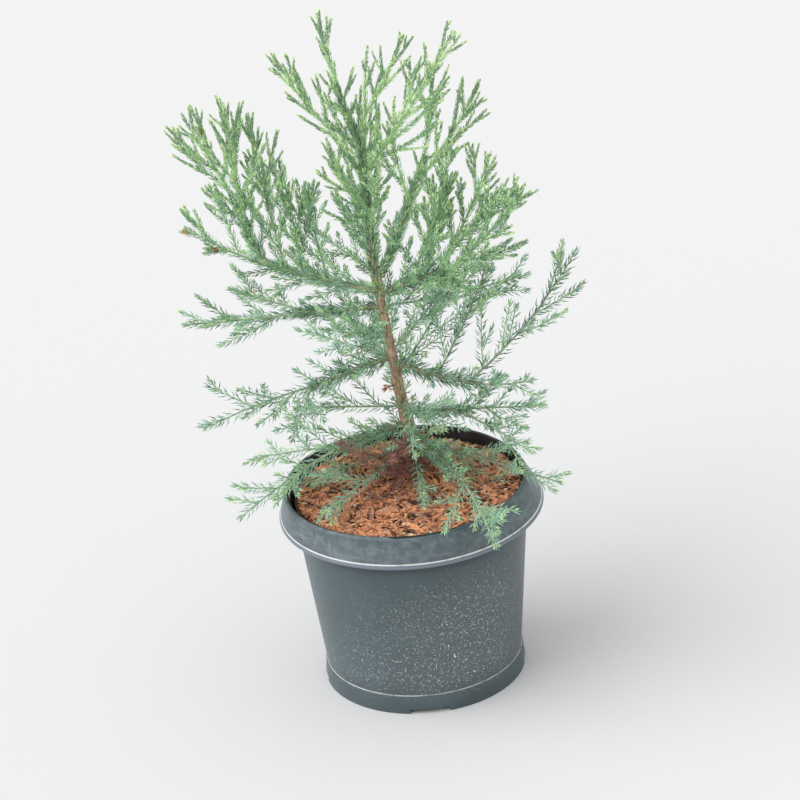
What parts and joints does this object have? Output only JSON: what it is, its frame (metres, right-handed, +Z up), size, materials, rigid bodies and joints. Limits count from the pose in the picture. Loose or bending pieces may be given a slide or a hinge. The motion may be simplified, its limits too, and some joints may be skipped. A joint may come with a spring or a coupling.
{
  "type": "potted giant sequoia",
  "caption": "Young giant sequoia conifer with a leaning trunk, boughs and sprays of short needles, growing in bark compost in a round grey plastic nursery pot.",
  "frame": {"origin": "centre of the pot's flat underside, on the surface that the pot stands on", "axes": "+Z up along the pot's axis, -Y towards the front, where the view of the plant is best, +X to the right of that view"},
  "size_m": [0.2885, 0.2728, 0.5023],
  "materials": {
    "pot_plastic": "dark blue-grey moulded plastic, scuffed, with pale mineral specks",
    "bark_chips": "red-brown shredded bark chips, damp and matt",
    "bark": "red-brown bark, finely fissured and matt",
    "fresh_needles": "fresh green scale-like needles",
    "blue_needles": "glaucous blue-green needles"
  },
  "bodies": {
    "root": {"back_left_low": "blue_needles", "back_low": "blue_needles", "back_mid": "blue_needles", "back_right_low": "blue_needles", "bough_front_foot": "bark", "bough_left_foot": "bark", "bough_left_high": "bark", "bough_left_low": "bark", "bough_left_mid": "bark", "bough_left_rise": "bark", "bough_right_high": "bark", "bough_right_long": "bark", "bough_right_low": "bark", "foot_front": "blue_needles", "foot_front_left": "blue_needles", "foot_front_right": "blue_needles", "foot_left": "blue_needles", "foot_right": "blue_needles", "front_left_mid": "blue_needles", "front_low": "blue_needles", "leader_back": "fresh_needles", "leader_diagonal": "fresh_needles", "leader_front_left": "fresh_needles", "leader_front_right": "fresh_needles", "leader_left": "fresh_needles", "leader_left_mid": "fresh_needles", "leader_right": "fresh_needles", "leader_tip": "fresh_needles", "left_foot_back": "blue_needles", "left_foot_out": "blue_needles", "left_foot_side": "blue_needles", "left_high_back": "fresh_needles", "left_high_in": "fresh_needles", "left_high_low": "fresh_needles", "left_high_out": "fresh_needles", "left_high_top": "fresh_needles", "left_inner": "blue_needles", "left_low_front": "blue_needles", "left_low_out": "blue_needles", "left_mid_back": "blue_needles", "left_mid_out": "blue_needles", "pot": "pot_plastic", "right_high_front": "fresh_needles", "right_high_left": "fresh_needles", "right_high_low": "fresh_needles", "right_high_out": "fresh_needles", "right_high_top": "fresh_needles", "right_inner": "blue_needles", "right_long_in": "blue_needles", "right_long_out": "blue_needles", "right_long_top": "blue_needles", "right_low_droop": "blue_needles", "right_low_out": "blue_needles", "right_mid": "blue_needles", "second_back": "fresh_needles", "second_right": "fresh_needles", "second_stem": "bark", "second_top": "fresh_needles", "soil": "bark_chips", "trunk": "bark"}
  },
  "joints": []
}
